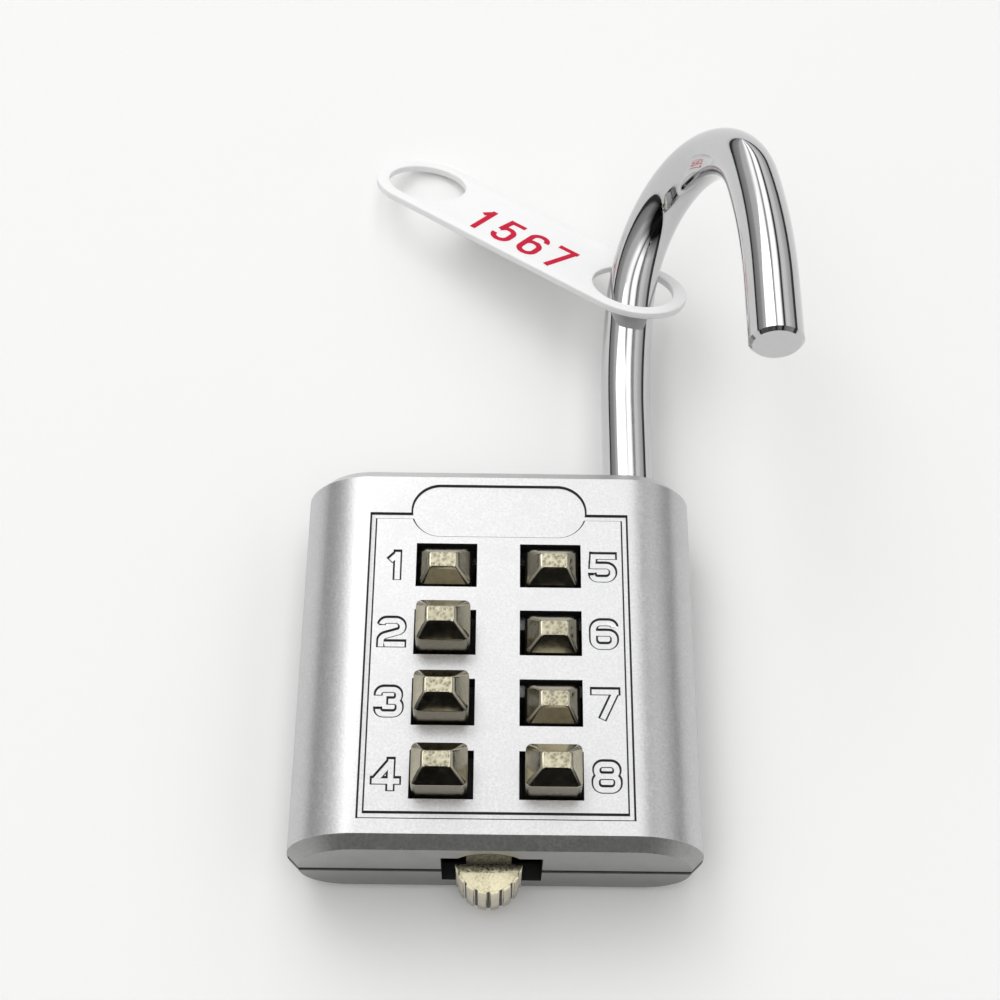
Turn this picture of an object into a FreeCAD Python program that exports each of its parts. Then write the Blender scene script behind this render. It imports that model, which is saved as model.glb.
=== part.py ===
"""Push button combination padlock, lying on its back with the shackle raised and swung open.

Millimetres. +X points right across the face, +Y from the body towards the shackle and +Z out of
the front face. The origin is the centre of the flat back face.
"""
import FreeCAD
import Part
import math
import os

# Driving sizes
BODY_W = 40.0
BODY_H = 40.3
BODY_T = 13.5
ROD_D = 5.4              # shackle rod
CROWN_RISE = 23.6        # height of the bow above the straight legs
SWING = 117.2            # degrees that the shackle is turned from its closed position
TAG_SPAN = 31.0          # between the two holes of the tag
CODE_KEYS = (1, 5, 6, 7)  # pressed in the pose shown

# Clearances
PLAY = 0.1               # running
ROOM = 0.25              # free
TOUCH = 1e-6             # points nearer than this are one point

# Body
TOP_Y = BODY_H / 2
BOTTOM_Y = -BODY_H / 2
FRONT_ROUND = 0.5185 * BODY_T   # radius of the long side edges on the front
BACK_ROUND = 0.4074 * BODY_T    # the same on the back
END_BEVEL = 1.2          # bevel round the top and bottom end faces
FACE_T = 1.5             # thickness of the front wall
BACK_T = 1.3             # thickness of the back wall
END_WALL = 1.75          # thickness of the bottom wall
PART_Z = 0.448 * BODY_T  # parting plane of the two castings
SEAM_GAP = 0.25          # dark line left between the castings
SEAM_DEPTH = 0.8
FACE_UNDER = BODY_T - FACE_T
WELL_BOTTOM = BOTTOM_Y + END_WALL

# Face pattern
LINE_W = 0.38            # width of the frame line
LINE_D = 0.25            # depth of the frame line and of the name field
FRAME_X = BODY_W / 2 - 7.1
FRAME_TOP = TOP_Y - 5.55
FRAME_BOTTOM = BOTTOM_Y + 2.8
FIELD_X = FRAME_X - 4.15  # half length of the bare name field
FIELD_TOP = TOP_Y - 2.25
FIELD_BOTTOM = TOP_Y - 7.92

# Keys
KEY_ROWS = 4
KEY_TOP_Y = FIELD_BOTTOM - 3.355         # middle of the first row
KEY_BOTTOM_Y = FRAME_BOTTOM + 4.175      # middle of the last row
KEY_PITCH = (KEY_TOP_Y - KEY_BOTTOM_Y) / (KEY_ROWS - 1)
WINDOW_X = 0.13 * BODY_W                 # middle of a window from the centre line
WINDOW_W = 0.1525 * BODY_W
WINDOW_H = 0.656 * KEY_PITCH
KEY_W = 0.869 * WINDOW_W
KEY_H = 0.882 * WINDOW_H
KEY_R = 0.55
KEY_OFFSET = 0.15        # keys sit this far outwards in their windows
KEY_X = WINDOW_X + KEY_OFFSET
KEY_PROUD = 2.8          # height of a raised key's shoulder above the face
KEY_ROOF = 1.5           # height of the pyramid on a key
ROOF_W = 0.481 * KEY_W   # flat on top of the pyramid
ROOF_H = 0.353 * KEY_H
ROOF_OFFSET = 0.2        # the flat lies this far outwards on its key
FLANGE_T = 0.7
FLANGE_LAP = 0.3         # a flange reaches this far past its window
FLANGE_TOP = FACE_UNDER - PLAY
FLANGE_BOTTOM = FLANGE_TOP - FLANGE_T
FLANGE_W = WINDOW_W + 2 * FLANGE_LAP
FLANGE_H = WINDOW_H + 2 * FLANGE_LAP
STEM_W = 0.566 * KEY_W
STEM_H = 0.565 * KEY_H
NECK_H = STEM_H / 2
DIMPLE_D = 0.3
DIMPLE_H = 0.7

# Inner plates
GATE_Z = 0.348 * BODY_T
GATE_T = 1.1
GATE_TOP = GATE_Z + GATE_T
GATE_X = 0.205 * BODY_W
GATE_TOP_Y = FIELD_BOTTOM - 0.63
GATE_BOTTOM_Y = BOTTOM_Y + 3.85
GATE_TRAVEL = 1.5        # opener travel to each side
CARRIER_GAP = 0.5        # between the gate plate and the key carrier
CARRIER_T = 0.7
CARRIER_LEDGE = 0.8      # width of the ledge that the carrier seats on
CARRIER_Z = GATE_TOP + CARRIER_GAP
CARRIER_TOP = CARRIER_Z + CARRIER_T
DETENT_T = 0.25
DETENT_TONGUE_H = 1.2
DETENT_BITE = 0.15       # a tongue reaches this far into a dimple
DETENT_AIR = 0.95        # under the flange of a pressed key
KEY_STROKE = FLANGE_BOTTOM - CARRIER_TOP - DETENT_T - DETENT_AIR
RIB_T = 0.8
POST = 1.6
LOWER_POST_X = GATE_X - 1.0
UPPER_POST_X = GATE_X - 1.7
WELL_X = GATE_X + GATE_TRAVEL + 2 * PLAY
LOFT_X = WELL_X - CARRIER_LEDGE

# Bolt on the gate plate
BOLT_BITE = 1.25         # the bolt nose reaches this far into the toe pocket
BOLT_W = 2.4
BOLT_T = 2.4
BOLT_Y = TOP_Y - 4.55    # middle of the bolt nose
BOLT_TOP = BOLT_Y + BOLT_W / 2
ARM_RIGHT = -GATE_X + BOLT_W
WELL_TOP = BOLT_TOP + ROOM

# Shackle, its clip, cap and spring, stacked from the top end down the heel bore
NECK_D = 3.6
HEAD_T = 1.6
CLIP_T = 1.5
CLIP_W = 6.6
CAP_T = 0.8
SPRING_LEFT = 1.7        # length left to the pressed spring
SPRING_WALL = 0.45
WELL_FOOT = 4.95         # from the spring well to the bottom end
TOE_BELOW = 2.3          # rod left under the bolt pocket, with its clearance
TOE_BEVEL = 0.35
HEEL_STACK = HEAD_T + PLAY + CLIP_T + ROOM + 0.05
SHACKLE_TRAVEL = (BOLT_Y - HEEL_STACK - 2 * CAP_T - SPRING_LEFT - WELL_FOOT - BOTTOM_Y) / 2
SHOULDER_Y = BOLT_Y      # lower end of the full diameter on the heel leg, raised
HEAD_Y = SHOULDER_Y - SHACKLE_TRAVEL - HEEL_STACK  # underside of the heel head, raised
HEAD_TOP = HEAD_Y + HEAD_T
CLIP_Y = HEAD_TOP + PLAY
SPRING_WELL_Y = BOTTOM_Y + WELL_FOOT
TOE_Y = BOLT_Y + SHACKLE_TRAVEL - BOLT_W / 2 - TOE_BELOW  # end of the toe leg, raised
CROWN_Y = TOP_Y + SHACKLE_TRAVEL - 1.15  # where the legs start to bend, raised
LEG_X = 0.345 * BODY_W   # heel leg from the centre line
LEG_SPACING = 0.685 * BODY_W
LEG_Z = 0.4926 * BODY_T
TOE_X = LEG_X - LEG_SPACING
CROWN_R = 0.449 * LEG_SPACING  # radius of the top arc
CROWN_TOP = CROWN_RISE - CROWN_R
HALF_SPACING = LEG_SPACING / 2
SIDE_R = (HALF_SPACING ** 2 + CROWN_TOP ** 2 - CROWN_R ** 2) / (2 * (HALF_SPACING - CROWN_R))
MEET = math.atan2(CROWN_TOP, SIDE_R - HALF_SPACING)  # angle at which side arc and top arc meet
POCKET_DEPTH = BOLT_BITE + GATE_TRAVEL + PLAY
BOLT_END = TOE_X + ROD_D / 2 - BOLT_BITE

# Opener under the bottom end
SLOT_LEFT = -5.17
SLOT_RIGHT = 4.5
SLOT_BACK_Z = 0.2222 * BODY_T
SLOT_FRONT_Z = 0.7333 * BODY_T
SCALLOP_W = 5.8
SCALLOP_RISE = 1.6
SCALLOP_D = 0.5
THUMB_X = -0.6
THUMB_R = 3.25
THUMB_Y = BOTTOM_Y + 0.25  # centre of the half disc
THUMB_Z = SLOT_BACK_Z + PLAY
THUMB_T = 0.4 * BODY_T
LOBES = 8                # round the edge of the half disc
LOBE_GROOVE = 0.24       # radius of the groove between two lobes
TAIL_W = 3.2
OPENER_NECK_W = 4.4
OPENER_Z = GATE_Z + GATE_T / 2
SIDE_SPRING_D = 1.5

# Rivets
RIVET_D = 2.0
RIVET_TOP_Z = BODY_T - 3.0
RIVET_TOP_X = 0.1625 * BODY_W
RIVET_BOTTOM_X = 0.355 * BODY_W
RIVET_INSET = 1.65       # top rivets from the top end
RIVET_FOOT = 2.75        # bottom rivets from the bottom end

# Tag
TAG_R = 6.15
TAG_HOLE_R = 4.65
TAG_T = 0.8
TAG_LEAN = 18.4          # degrees that the rod leans where the tag hangs
TAG_OFF_X = 0.083        # hole centre beside the rod's centre line
TAG_OFF_Z = 0.496
TAG_YAW = -38.6
TAG_PITCH = -10.6
TAG_ROLL = -26.0


def vec(x=0.0, y=0.0, z=0.0):
    return FreeCAD.Vector(x, y, z)


def block(x0, x1, y0, y1, z0, z1):
    """Box between two corners."""
    return Part.makeBox(x1 - x0, y1 - y0, z1 - z0, vec(x0, y0, z0))


def rod(radius, start, end):
    """Round bar between two points."""
    span = end - start
    return Part.makeCylinder(radius, span.Length, start, span)


def rounded_wire(width, height, radius, x, y, z):
    """Rectangle with rounded corners, or with round ends, in a plane across Z."""
    w = width / 2 - radius
    h = height / 2 - radius
    arcs = []
    for quarter, (cx, cy) in enumerate(((w, h), (-w, h), (-w, -h), (w, -h))):
        angles = [math.pi / 2 * (quarter + step) for step in (0, 0.5, 1)]
        arcs.append([vec(x + cx + radius * math.cos(a), y + cy + radius * math.sin(a), z) for a in angles])
    edges = []
    for here, after in zip(arcs, arcs[1:] + arcs[:1]):
        edges.append(Part.Arc(*here).toShape())
        if not here[2].isEqual(after[0], TOUCH):
            edges.append(Part.makeLine(here[2], after[0]))
    return Part.Wire(edges)


def rounded_prism(width, height, radius, x, y, z0, z1):
    """Upright prism on a rounded rectangle."""
    return Part.Face(rounded_wire(width, height, radius, x, y, z0)).extrude(vec(0, 0, z1 - z0))


def key_place(number):
    """Middle of a key's window and the side it is on, -1 left or 1 right."""
    side = -1 if number <= KEY_ROWS else 1
    row = (number - 1) % KEY_ROWS
    return side, KEY_TOP_Y - row * KEY_PITCH


def body_blank():
    """Whole body: the end profile drawn between its two bevelled ends."""
    half = BODY_W / 2
    front_z = BODY_T - FRONT_ROUND
    s = math.sqrt(0.5)

    def corner(sign, radius, z_mid, up):
        mid_x = half - radius
        arc = [
            vec(sign * half, BOTTOM_Y, z_mid),
            vec(sign * (mid_x + radius * s), BOTTOM_Y, z_mid + up * radius * s),
            vec(sign * mid_x, BOTTOM_Y, z_mid + up * radius),
        ]
        return arc

    right_front = corner(1, FRONT_ROUND, front_z, 1)
    left_front = corner(-1, FRONT_ROUND, front_z, 1)
    right_back = corner(1, BACK_ROUND, BACK_ROUND, -1)
    left_back = corner(-1, BACK_ROUND, BACK_ROUND, -1)
    profile = Part.Wire([
        Part.Arc(*right_front).toShape(),
        Part.makeLine(right_front[2], left_front[2]),
        Part.Arc(*reversed(left_front)).toShape(),
        Part.makeLine(left_front[0], left_back[0]),
        Part.Arc(*left_back).toShape(),
        Part.makeLine(left_back[2], right_back[2]),
        Part.Arc(*reversed(right_back)).toShape(),
        Part.makeLine(right_back[0], right_front[0]),
    ])
    blank = Part.Face(profile).extrude(vec(0, BODY_H, 0))
    rims = [e for e in blank.Edges if all(abs(abs(v.Y) - TOP_Y) < TOUCH for v in e.Vertexes)]
    return blank.makeChamfer(END_BEVEL, rims)


def leg_bores():
    """Bores for the two legs, the spring well and the pocket of the retaining clip."""
    bearing = ROD_D / 2 + PLAY
    heel = rod(bearing, vec(LEG_X, SPRING_WELL_Y, LEG_Z), vec(LEG_X, TOP_Y + 1, LEG_Z))
    toe_floor = TOE_Y - SHACKLE_TRAVEL - 2 * ROOM
    toe = rod(ROD_D / 2 + ROOM, vec(TOE_X, toe_floor, LEG_Z), vec(TOE_X, TOP_Y + 1, LEG_Z))
    half = CLIP_W / 2
    clip = block(LEG_X - half, LEG_X + half, CLIP_Y, CLIP_Y + CLIP_T, LEG_Z - half, LEG_Z + half)
    return heel.fuse(toe).fuse(clip)


def bolt_passage():
    """Way for the bolt nose from the well to the toe bore."""
    z0 = LEG_Z - BOLT_T / 2 - ROOM
    z1 = LEG_Z + BOLT_T / 2 + ROOM
    y0 = BOLT_Y - BOLT_W / 2 - ROOM
    return block(TOE_X, ARM_RIGHT + GATE_TRAVEL + ROOM, y0, WELL_TOP, z0, z1)


def end_slot():
    """Slot in the bottom wall and the shallow scallop over it."""
    slot = block(SLOT_LEFT, SLOT_RIGHT, BOTTOM_Y - 1, WELL_BOTTOM + PLAY, SLOT_BACK_Z, SLOT_FRONT_Z)
    half = SCALLOP_W / 2
    radius = (half * half + SCALLOP_RISE * SCALLOP_RISE) / (2 * SCALLOP_RISE)
    centre = vec(THUMB_X, BOTTOM_Y - 1, SLOT_FRONT_Z + SCALLOP_RISE - radius)
    disc = Part.makeCylinder(radius, 1 + SCALLOP_D, centre, vec(0, 1, 0))
    over = block(THUMB_X - half, THUMB_X + half, BOTTOM_Y - 1, TOP_Y, SLOT_FRONT_Z - 1, BODY_T)
    return slot.fuse(disc.common(over))


def rivet_places():
    top = TOP_Y - RIVET_INSET
    bottom = BOTTOM_Y + RIVET_FOOT
    return [(-RIVET_TOP_X, top), (RIVET_TOP_X, top), (-RIVET_BOTTOM_X, bottom), (RIVET_BOTTOM_X, bottom)]


def rivet(x, y):
    """Straight rivet, flush with the back face, that holds the two castings together."""
    return rod(RIVET_D / 2, vec(x, y, 0), vec(x, y, RIVET_TOP_Z))


def seam():
    """Narrow gap that runs round the outside at the parting plane."""
    outer = block(-BODY_W, BODY_W, -BODY_H, BODY_H, PART_Z, PART_Z + SEAM_GAP)
    x = BODY_W / 2 - SEAM_DEPTH
    y = TOP_Y - SEAM_DEPTH
    return outer.cut(block(-x, x, -y, y, PART_Z - 1, PART_Z + 1))


def face_pattern():
    """Frame line and the bare pill-shaped field that breaks it at the top."""
    z = BODY_T - LINE_D
    frame = block(-FRAME_X, FRAME_X, FRAME_BOTTOM, FRAME_TOP, z, BODY_T + 1)
    x = FRAME_X - LINE_W
    frame = frame.cut(block(-x, x, FRAME_BOTTOM + LINE_W, FRAME_TOP - LINE_W, z - 1, BODY_T + 2))
    height = FIELD_TOP - FIELD_BOTTOM
    middle = (FIELD_TOP + FIELD_BOTTOM) / 2
    field = rounded_prism(2 * FIELD_X, height, height / 2, 0, middle, z, BODY_T + 1)
    return frame.fuse(field)


def front_shell():
    """Front casting with the key windows, bearing the carrier on a ledge."""
    shell = body_blank().common(block(-BODY_W, BODY_W, -BODY_H, BODY_H, PART_Z, BODY_T + 1))
    shell = shell.cut(block(-LOFT_X, LOFT_X, WELL_BOTTOM, FIELD_BOTTOM, PART_Z - 1, FACE_UNDER))
    shell = shell.cut(block(-WELL_X, WELL_X, WELL_BOTTOM, WELL_TOP, PART_Z - 1, CARRIER_TOP))
    shell = shell.cut(bolt_passage())
    shell = shell.cut(leg_bores())
    for number in range(1, 2 * KEY_ROWS + 1):
        side, y = key_place(number)
        x = side * WINDOW_X
        w = WINDOW_W / 2
        h = WINDOW_H / 2
        shell = shell.cut(block(x - w, x + w, y - h, y + h, FACE_UNDER - 1, BODY_T + 1))
    for x, y in rivet_places():
        shell = shell.cut(rivet(x, y))
    return shell.cut(end_slot()).cut(seam()).cut(face_pattern())


def carrier_posts():
    """Places of the posts on the back cover that hold the carrier on its ledge."""
    low = (WELL_BOTTOM + GATE_BOTTOM_Y - PLAY) / 2
    high = GATE_TOP_Y + ROOM + POST / 2
    return [(-LOWER_POST_X, low), (LOWER_POST_X, low), (0, high), (UPPER_POST_X, high)]


def back_cover():
    """Back casting with ribs under the gate plate and posts up to the key carrier."""
    cover = body_blank().common(block(-BODY_W, BODY_W, -BODY_H, BODY_H, -1, PART_Z))
    cover = cover.cut(block(-WELL_X, WELL_X, WELL_BOTTOM, WELL_TOP, BACK_T, PART_Z + 1))
    cover = cover.cut(bolt_passage()).cut(leg_bores()).cut(end_slot())
    for row in range(KEY_ROWS + 1):
        y = KEY_TOP_Y + (0.5 - row) * KEY_PITCH
        y = min(max(y, GATE_BOTTOM_Y + RIB_T / 2), GATE_TOP_Y - RIB_T / 2)
        cover = cover.fuse(block(-GATE_X, GATE_X, y - RIB_T / 2, y + RIB_T / 2, BACK_T, GATE_Z))
    for x, y in carrier_posts():
        depth = min(POST, 2 * (y - WELL_BOTTOM)) / 2
        cover = cover.fuse(block(x - POST / 2, x + POST / 2, y - depth, y + depth, BACK_T, CARRIER_Z))
    for x, y in rivet_places():
        cover = cover.cut(rivet(x, y))
    return cover.removeSplitter()


def key_cap(x, y, side):
    """Cap of a raised key with rounded corners under a flat-sided pyramid roof."""
    shoulder = BODY_T + KEY_PROUD
    prism = rounded_prism(KEY_W, KEY_H, KEY_R, x, y, FLANGE_TOP, shoulder + KEY_ROOF)
    w = KEY_W / 2
    h = KEY_H / 2
    left = side * ROOF_OFFSET - ROOF_W / 2
    right = side * ROOF_OFFSET + ROOF_W / 2
    roof = Part.makeWedge(-w, 0, -h, -ROOF_H / 2, left, w, KEY_ROOF, h, ROOF_H / 2, right)
    roof.rotate(vec(), vec(1, 0, 0), 90)
    roof.translate(vec(x, y, shoulder))
    return prism.common(roof.fuse(block(x - w, x + w, y - h, y + h, FLANGE_TOP, shoulder)))


def key(number):
    """Key with its pyramid top, retaining flange and coded stem, raised or pressed as shown."""
    side, y = key_place(number)
    x = side * KEY_X
    cap = key_cap(x, y, side)
    flange = block(-FLANGE_W / 2, FLANGE_W / 2, -FLANGE_H / 2, FLANGE_H / 2, FLANGE_BOTTOM, FLANGE_TOP)
    flange.translate(vec(side * WINDOW_X, y, 0))
    coded = number in CODE_KEYS
    foot = GATE_Z - PLAY if coded else GATE_TOP + ROOM
    w = STEM_W / 2
    h = STEM_H / 2
    stem = block(x - w, x + w, y - h, y + h, foot, FLANGE_BOTTOM)
    if coded:
        low = GATE_Z + KEY_STROKE - ROOM
        high = GATE_TOP + KEY_STROKE + ROOM
        cut = (STEM_H - NECK_H) / 2
        stem = stem.cut(block(x - w, x + w, y - h, y - h + cut, low, high))
        stem = stem.cut(block(x - w, x + w, y + h - cut, y + h, low, high))
    inner = x - side * w
    for level in (CARRIER_TOP + DETENT_T / 2, CARRIER_TOP + DETENT_T / 2 + KEY_STROKE):
        z0 = level - DIMPLE_H / 2
        bite = sorted((inner, inner + side * DIMPLE_D))
        stem = stem.cut(block(bite[0], bite[1], y - h, y + h, z0, z0 + DIMPLE_H))
    shape = cap.fuse(flange).fuse(stem).removeSplitter()
    if coded:
        shape.translate(vec(0, 0, -KEY_STROKE))
    return shape


def carrier_ends():
    """Y range of the key carrier, over its posts."""
    posts = carrier_posts()
    return WELL_BOTTOM + PLAY, max(y for _, y in posts) + POST / 2


def key_carrier():
    """Plate that guides the eight stems."""
    y0, y1 = carrier_ends()
    plate = block(-WELL_X + PLAY, WELL_X - PLAY, y0, y1, CARRIER_Z, CARRIER_TOP)
    for number in range(1, 2 * KEY_ROWS + 1):
        side, y = key_place(number)
        w = STEM_W / 2 + PLAY
        h = STEM_H / 2 + PLAY
        x = side * KEY_X
        plate = plate.cut(block(x - w, x + w, y - h, y + h, CARRIER_Z - 1, CARRIER_TOP + 1))
    return plate


def detent_spring():
    """Thin spring sheet on the carrier: each tongue clicks into a dimple of its stem."""
    _, y1 = carrier_ends()
    z1 = CARRIER_TOP + DETENT_T
    top = min(y1, FIELD_BOTTOM) - PLAY
    sheet = block(-LOFT_X + PLAY, LOFT_X - PLAY, WELL_BOTTOM + PLAY, top, CARRIER_TOP, z1)
    for number in range(1, 2 * KEY_ROWS + 1):
        side, y = key_place(number)
        x = side * KEY_X
        w = STEM_W / 2 + 2 * ROOM
        h = STEM_H / 2 + 2 * ROOM
        window = block(x - w, x + w, y - h, y + h, CARRIER_TOP - 1, z1 + 1)
        root = sorted((x - side * w, x - side * (STEM_W / 2 - DETENT_BITE)))
        half = DETENT_TONGUE_H / 2
        tongue = block(root[0], root[1], y - half, y + half, CARRIER_TOP - 1, z1 + 1)
        sheet = sheet.cut(window.cut(tongue))
    return sheet


def gate_plate():
    """Sliding plate: keyed slots for the code stems, plain slots for the rest, and the bolt nose."""
    plate = block(-GATE_X, GATE_X, GATE_BOTTOM_Y, GATE_TOP_Y, GATE_Z, GATE_TOP)
    tail_left = THUMB_X - TAIL_W / 2
    tail_right = THUMB_X + TAIL_W / 2
    plate = plate.fuse(block(tail_left, tail_right, WELL_BOTTOM + PLAY, GATE_BOTTOM_Y, GATE_Z, GATE_TOP))
    y0 = BOLT_Y - BOLT_W / 2
    z0 = LEG_Z - BOLT_T / 2
    plate = plate.fuse(block(-GATE_X, ARM_RIGHT, GATE_TOP_Y, BOLT_TOP, GATE_Z, GATE_TOP))
    plate = plate.fuse(block(BOLT_END, ARM_RIGHT, y0, BOLT_TOP, z0, z0 + BOLT_T))
    w = STEM_W / 2 + ROOM
    h = STEM_H / 2 + ROOM
    n = NECK_H / 2 + PLAY
    for number in range(1, 2 * KEY_ROWS + 1):
        side, y = key_place(number)
        x = side * KEY_X
        plate = plate.cut(block(x - w, x + w + GATE_TRAVEL, y - h, y + h, GATE_Z - 1, GATE_TOP + 1))
        if number in CODE_KEYS:
            reach = x - w - GATE_TRAVEL
            plate = plate.cut(block(reach, x, y - n, y + n, GATE_Z - 1, GATE_TOP + 1))
    return plate.removeSplitter()


def opener():
    """Lobed thumb piece with a neck that reaches in through the slot and grips the gate plate."""
    z0 = THUMB_Z
    z1 = THUMB_Z + THUMB_T
    disc = Part.makeCylinder(THUMB_R, THUMB_T, vec(THUMB_X, THUMB_Y, z0))
    half = THUMB_R + 1
    disc = disc.common(block(THUMB_X - half, THUMB_X + half, THUMB_Y - half, BOTTOM_Y - PLAY, z0, z1))
    for step in range(LOBES + 1):
        angle = math.pi + math.pi * step / LOBES
        at = vec(THUMB_X + THUMB_R * math.cos(angle), THUMB_Y + THUMB_R * math.sin(angle), z0 - 1)
        disc = disc.cut(Part.makeCylinder(LOBE_GROOVE, THUMB_T + 2, at))
    w = OPENER_NECK_W / 2
    inner_y = GATE_BOTTOM_Y - 2 * PLAY
    neck = block(THUMB_X - w, THUMB_X + w, BOTTOM_Y - 1, inner_y, THUMB_Z + ROOM, CARRIER_Z - PLAY)
    groove = block(THUMB_X - TAIL_W / 2, THUMB_X + TAIL_W / 2, WELL_BOTTOM + PLAY, 0, GATE_Z, GATE_TOP)
    return disc.fuse(neck).cut(groove).removeSplitter()


def side_spring(sign):
    """Centring spring beside the opener neck, drawn as a plain sleeve."""
    start = THUMB_X + sign * (OPENER_NECK_W / 2 + PLAY / 2)
    stop = sign * (carrier_posts()[1][0] - POST / 2 - PLAY / 2)
    y = carrier_posts()[0][1]
    return sleeve(SIDE_SPRING_D / 2, vec(start, y, OPENER_Z), vec(stop, y, OPENER_Z))


def sleeve(radius, start, end):
    """Tube that stands for a coil spring."""
    axis = end - start
    axis.normalize()
    bore = rod(radius - SPRING_WALL, start - axis, end + axis)
    return rod(radius, start, end).cut(bore)


def bent_rod(centre, radius, start, turn):
    """Stretch of the rod bent about an upright axis; angles in radians."""
    at = centre + vec(radius * math.cos(start), radius * math.sin(start), 0)
    disc = Part.Face(Part.Wire(Part.makeCircle(ROD_D / 2, at, vec(-math.sin(start), math.cos(start), 0))))
    return disc.revolve(centre, vec(0, 0, 1), math.degrees(turn))


def shackle_bow():
    """Bow in the closed position, heel leg on the Y axis, toe towards -X: three tangent arcs."""
    heel = bent_rod(vec(-SIDE_R, CROWN_Y, 0), SIDE_R, 0, MEET)
    crown = bent_rod(vec(-HALF_SPACING, CROWN_Y + CROWN_TOP, 0), CROWN_R, MEET, math.pi - 2 * MEET)
    toe = bent_rod(vec(SIDE_R - LEG_SPACING, CROWN_Y, 0), SIDE_R, math.pi - MEET, MEET)
    return heel.fuse(crown).fuse(toe)


def heel_point(lean):
    """Where the rod leans by an angle: distance from the heel leg's line and height above its bend."""
    if lean < MEET:
        return SIDE_R * (1 - math.cos(lean)), SIDE_R * math.sin(lean)
    return HALF_SPACING - CROWN_R * math.cos(lean), CROWN_TOP + CROWN_R * math.sin(lean)


def shackle():
    """Bent rod with a necked heel, a retaining head and a bolt pocket inside the toe."""
    radius = ROD_D / 2
    toe_leg = rod(radius, vec(-LEG_SPACING, TOE_Y, 0), vec(-LEG_SPACING, CROWN_Y, 0))
    toe_rim = [e for e in toe_leg.Edges if e.BoundBox.YMax < TOE_Y + TOUCH]
    shape = toe_leg.makeChamfer(TOE_BEVEL, toe_rim).fuse(shackle_bow())
    shape = shape.fuse(rod(radius, vec(0, SHOULDER_Y, 0), vec(0, CROWN_Y, 0)))
    shape = shape.fuse(rod(NECK_D / 2, vec(0, HEAD_Y, 0), vec(0, SHOULDER_Y, 0)))
    shape = shape.fuse(rod(ROD_D / 2 - PLAY, vec(0, HEAD_Y, 0), vec(0, HEAD_TOP, 0)))
    pocket_y = BOLT_Y + SHACKLE_TRAVEL
    half = BOLT_W / 2 + ROOM
    inner = -LEG_SPACING + radius
    z = BOLT_T / 2 + ROOM
    shape = shape.cut(block(inner - POCKET_DEPTH, inner + 1, pocket_y - half, pocket_y + half, -z, z))
    shape = shape.removeSplitter()
    shape.rotate(vec(), vec(0, 1, 0), SWING)
    shape.translate(vec(LEG_X, 0, LEG_Z))
    return shape


def retaining_clip():
    """Fork that straddles the necked heel and stops its head."""
    half = CLIP_W / 2 - PLAY / 2
    plate = block(LEG_X - half, LEG_X + half, CLIP_Y, CLIP_Y + CLIP_T, LEG_Z - half, LEG_Z + half)
    slot = NECK_D / 2 + PLAY
    plate = plate.cut(rod(slot, vec(LEG_X, CLIP_Y - 1, LEG_Z), vec(LEG_X, CLIP_Y + CLIP_T + 1, LEG_Z)))
    return plate.cut(block(LEG_X - slot, LEG_X + slot, CLIP_Y - 1, CLIP_Y + CLIP_T + 1, 0, LEG_Z))


def spring_cap():
    """Cap on the shackle spring, under the heel head; it rises with the shackle but doesn't turn."""
    top = HEAD_Y
    disc = rod(ROD_D / 2 - PLAY, vec(LEG_X, top - CAP_T, LEG_Z), vec(LEG_X, top, LEG_Z))
    nub_r = ROD_D / 2 - 3 * PLAY - SPRING_WALL
    nub = rod(nub_r, vec(LEG_X, top - 2 * CAP_T, LEG_Z), vec(LEG_X, top, LEG_Z))
    return disc.fuse(nub).removeSplitter()


def shackle_spring():
    """Lifting spring in its well, drawn as a plain sleeve."""
    return sleeve(ROD_D / 2 - 2 * PLAY, vec(LEG_X, SPRING_WELL_Y, LEG_Z), vec(LEG_X, HEAD_Y - CAP_T, LEG_Z))


def tag_place():
    """Centre of the tag's right hole, off the centre line of the swung rod."""
    offset, rise = heel_point(math.radians(TAG_LEAN))
    bent = FreeCAD.Rotation(vec(0, 1, 0), SWING).multVec(vec(-offset, 0, 0))
    return vec(LEG_X + bent.x + TAG_OFF_X, CROWN_Y + rise, LEG_Z + bent.z + TAG_OFF_Z)


def code_tag():
    """Plastic strip with a hole in each round end, hung on the shackle by the right one."""
    length = TAG_SPAN + 2 * TAG_R
    strip = rounded_prism(length, 2 * TAG_R, TAG_R, -TAG_SPAN / 2, 0, -TAG_T / 2, TAG_T / 2)
    for x in (0, -TAG_SPAN):
        strip = strip.cut(rod(TAG_HOLE_R, vec(x, 0, -TAG_T), vec(x, 0, TAG_T)))
    strip.Placement = FreeCAD.Placement(tag_place(), FreeCAD.Rotation(TAG_YAW, TAG_PITCH, TAG_ROLL))
    return strip


def build():
    """Every node of the padlock, by name."""
    nodes = {
        "front_shell": front_shell(),
        "back_cover": back_cover(),
        "key_carrier": key_carrier(),
        "detent_spring": detent_spring(),
        "gate_plate": gate_plate(),
        "opener": opener(),
        "opener_spring_left": side_spring(-1),
        "opener_spring_right": side_spring(1),
        "shackle": shackle(),
        "retaining_clip": retaining_clip(),
        "spring_cap": spring_cap(),
        "shackle_spring": shackle_spring(),
        "code_tag": code_tag(),
    }
    for index, (x, y) in enumerate(rivet_places(), 1):
        nodes[f"rivet_{index}"] = rivet(x, y)
    for number in range(1, 2 * KEY_ROWS + 1):
        nodes[f"key_{number}"] = key(number)
    return nodes


def main():
    os.makedirs("parts", exist_ok=True)
    for name, shape in build().items():
        solid = shape.Solids[0] if len(shape.Solids) == 1 else shape
        solid.exportStep(f"parts/{name}.step")
        print(f"{name}: {len(shape.Solids)} solid, {shape.Volume:.1f} mm3, valid {shape.isValid()}")


main()
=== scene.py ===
"""Looks of the push-button padlock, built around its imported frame.

Metres, in the frame of the CAD: +X right across the face, +Y towards the shackle, +Z out of the
front face. Sizes are written in millimetres times MM.
"""

import math

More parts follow.
